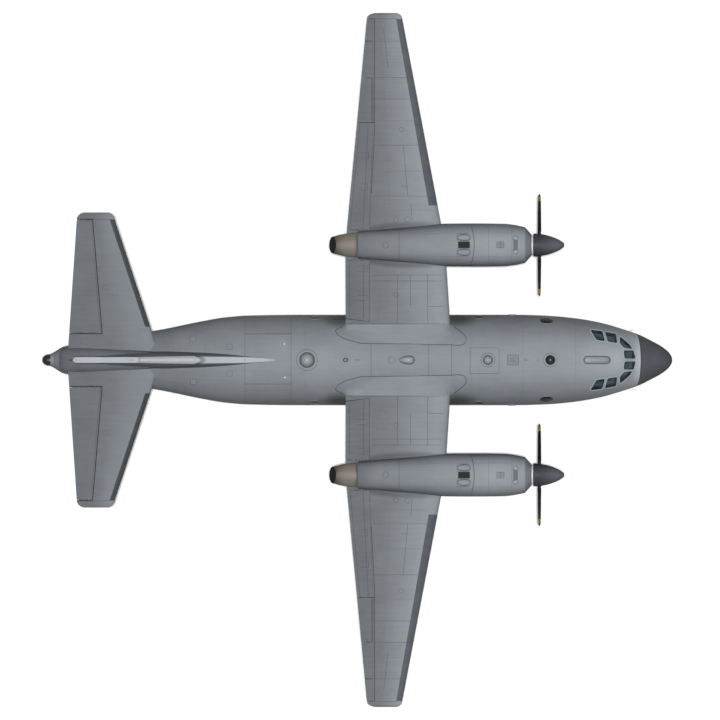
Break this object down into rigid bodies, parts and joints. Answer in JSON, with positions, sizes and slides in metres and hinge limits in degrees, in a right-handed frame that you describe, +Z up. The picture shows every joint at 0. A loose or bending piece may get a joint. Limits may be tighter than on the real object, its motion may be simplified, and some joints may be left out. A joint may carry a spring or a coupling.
{
  "type": "military transport plane",
  "caption": "High-wing twin-turboprop military transport plane on its wheels, with a rear cargo ramp, flaps, control surfaces, spinning propellers and a steered nose wheel.",
  "frame": {"origin": "on the ground, under the centre of the plane's box", "axes": "+X towards the nose, +Y towards the left wing tip, +Z up"},
  "size_m": [26.1, 28.7, 9.72],
  "materials": {
    "grey_paint": "satin",
    "dark_paint": "satin",
    "window_glass": "gloss",
    "interior_grey": "matte",
    "seat_fabric": "matte",
    "wing_paint": "satin",
    "tail_paint": "satin",
    "bare_metal": "satin",
    "hot_metal": "satin",
    "blade_paint": "satin",
    "tyre_rubber": "matte",
    "gear_paint": "satin"
  },
  "bodies": {
    "airframe": {"radome": "dark_paint", "nose_section": "grey_paint", "cockpit_glazing": "window_glass", "cockpit_floor": "interior_grey", "instrument_panel": "interior_grey", "pilot_seat_left": "seat_fabric", "pilot_seat_right": "seat_fabric", "center_fuselage": "grey_paint", "cargo_floor": "interior_grey", "wing_fairing": "grey_paint", "rear_fuselage": "grey_paint", "tail_cone": "grey_paint", "tail_light": "dark_paint", "center_wing": "wing_paint", "outer_wing_left": "wing_paint", "outer_wing_right": "wing_paint", "tailplane": "tail_paint", "fin": "tail_paint", "engine_cowling_left": "grey_paint", "engine_cowling_right": "grey_paint", "nacelle_left": "wing_paint", "nacelle_right": "wing_paint", "engine_left": "bare_metal", "engine_right": "bare_metal", "exhaust_nozzle_left": "hot_metal", "exhaust_nozzle_right": "hot_metal", "sponson_left": "wing_paint", "sponson_right": "wing_paint", "main_gear_left": "gear_paint", "main_gear_right": "gear_paint", "nose_gear_leg": "gear_paint", "nose_gear_door_left": "grey_paint", "nose_gear_door_right": "grey_paint"},
    "propeller_left": {"spinner_left": "dark_paint", "propeller_blade_left_1": "blade_paint", "propeller_blade_left_2": "blade_paint"},
    "propeller_right": {"spinner_right": "dark_paint", "propeller_blade_right_1": "blade_paint", "propeller_blade_right_2": "blade_paint"},
    "nose_gear_yoke": {"nose_gear_yoke": "gear_paint"},
    "nose_wheels": {"nose_wheels": "tyre_rubber"},
    "main_wheel_front_left": {"main_wheel_front_left": "tyre_rubber"},
    "main_wheel_rear_left": {"main_wheel_rear_left": "tyre_rubber"},
    "main_wheel_front_right": {"main_wheel_front_right": "tyre_rubber"},
    "main_wheel_rear_right": {"main_wheel_rear_right": "tyre_rubber"},
    "inboard_flap_left": {"inboard_flap_left": "wing_paint"},
    "outboard_flap_left": {"outboard_flap_left": "wing_paint"},
    "aileron_left": {"aileron_left": "wing_paint"},
    "elevator_left": {"elevator_left": "tail_paint"},
    "inboard_flap_right": {"inboard_flap_right": "wing_paint"},
    "outboard_flap_right": {"outboard_flap_right": "wing_paint"},
    "aileron_right": {"aileron_right": "wing_paint"},
    "elevator_right": {"elevator_right": "tail_paint"},
    "rudder": {"rudder": "tail_paint"},
    "cargo_ramp": {"cargo_ramp": "grey_paint"},
    "cargo_door": {"cargo_door": "grey_paint"},
    "crew_door": {"crew_door": "grey_paint"}
  },
  "joints": [
    {"name": "propeller_left_spin", "type": "hinge", "parent": "airframe", "child": "propeller_left", "pos_m": [7.526, 4.756, 4.05], "axis": [1, 0, 0], "continuous": true},
    {"name": "propeller_right_spin", "type": "hinge", "parent": "airframe", "child": "propeller_right", "pos_m": [7.526, -4.756, 4.05], "axis": [1, 0, 0], "continuous": true},
    {"name": "nose_steering", "type": "hinge", "parent": "airframe", "child": "nose_gear_yoke", "pos_m": [9.95, 0, 0.98], "axis": [0, 0, 1], "range_deg": [-60, 60]},
    {"name": "nose_wheels_spin", "type": "hinge", "parent": "nose_gear_yoke", "child": "nose_wheels", "pos_m": [9.95, 0, 0.37], "axis": [0, 1, 0], "continuous": true},
    {"name": "main_wheel_front_left_spin", "type": "hinge", "parent": "airframe", "child": "main_wheel_front_left", "pos_m": [1.8, 2.12, 0.49], "axis": [0, 1, 0], "continuous": true},
    {"name": "main_wheel_rear_left_spin", "type": "hinge", "parent": "airframe", "child": "main_wheel_rear_left", "pos_m": [0.5, 2.12, 0.49], "axis": [0, 1, 0], "continuous": true},
    {"name": "main_wheel_front_right_spin", "type": "hinge", "parent": "airframe", "child": "main_wheel_front_right", "pos_m": [1.8, -2.12, 0.49], "axis": [0, 1, 0], "continuous": true},
    {"name": "main_wheel_rear_right_spin", "type": "hinge", "parent": "airframe", "child": "main_wheel_rear_right", "pos_m": [0.5, -2.12, 0.49], "axis": [0, 1, 0], "continuous": true},
    {"name": "inboard_flap_left_hinge", "type": "hinge", "parent": "airframe", "child": "inboard_flap_left", "pos_m": [0.42, 1.6, 4.01156], "axis": [0, 1, 0], "range_deg": [-35, 0]},
    {"name": "outboard_flap_left_hinge", "type": "hinge", "parent": "airframe", "child": "outboard_flap_left", "pos_m": [0.434, 5.396, 4.01578], "axis": [0.0377, 0.9988, 0.0316], "range_deg": [-35, 0]},
    {"name": "aileron_left_hinge", "type": "hinge", "parent": "airframe", "child": "aileron_left", "pos_m": [0.616, 9.83, 4.31655], "axis": [0, 0.9995, 0.03], "range_deg": [-20, 20]},
    {"name": "elevator_left_hinge", "type": "hinge", "parent": "airframe", "child": "elevator_left", "pos_m": [-10.69, 1.14, 4.36], "axis": [-0.0775, 0.997, 0], "range_deg": [-20, 25]},
    {"name": "inboard_flap_right_hinge", "type": "hinge", "parent": "airframe", "child": "inboard_flap_right", "pos_m": [0.42, -1.6, 4.01156], "axis": [0, 1, 0], "range_deg": [-35, 0]},
    {"name": "outboard_flap_right_hinge", "type": "hinge", "parent": "airframe", "child": "outboard_flap_right", "pos_m": [0.434, -5.396, 4.01578], "axis": [-0.0377, 0.9988, -0.0316], "range_deg": [-35, 0]},
    {"name": "aileron_right_hinge", "type": "hinge", "parent": "airframe", "child": "aileron_right", "pos_m": [0.616, -9.83, 4.31655], "axis": [0, 0.9995, -0.03], "range_deg": [-20, 20]},
    {"name": "elevator_right_hinge", "type": "hinge", "parent": "airframe", "child": "elevator_right", "pos_m": [-10.69, -1.14, 4.36], "axis": [0.0775, 0.997, 0], "range_deg": [-20, 25]},
    {"name": "rudder_hinge", "type": "hinge", "parent": "airframe", "child": "rudder", "pos_m": [-10.45, 0, 4.8], "axis": [-0.0886, 0, 0.9961], "range_deg": [-25, 25]},
    {"name": "cargo_ramp_hinge", "type": "hinge", "parent": "airframe", "child": "cargo_ramp", "pos_m": [-2.45, 0, 0.88051], "axis": [0, 1, 0], "range_deg": [-30, 0]},
    {"name": "cargo_door_hinge", "type": "hinge", "parent": "airframe", "child": "cargo_door", "pos_m": [-6.75, 0, 2.72761], "axis": [0, 1, 0], "range_deg": [-40, 0]},
    {"name": "crew_door_hinge", "type": "hinge", "parent": "airframe", "child": "crew_door", "pos_m": [8.375, 1.31243, 1.45], "axis": [1, 0, 0], "range_deg": [-120, 0]}
  ],
  "couplings": [
    {"joint": "inboard_flap_right_hinge", "follows": "inboard_flap_left_hinge", "ratio": 1},
    {"joint": "outboard_flap_left_hinge", "follows": "inboard_flap_left_hinge", "ratio": 1},
    {"joint": "outboard_flap_right_hinge", "follows": "inboard_flap_left_hinge", "ratio": 1},
    {"joint": "aileron_right_hinge", "follows": "aileron_left_hinge", "ratio": -1},
    {"joint": "elevator_right_hinge", "follows": "elevator_left_hinge", "ratio": 1}
  ]
}
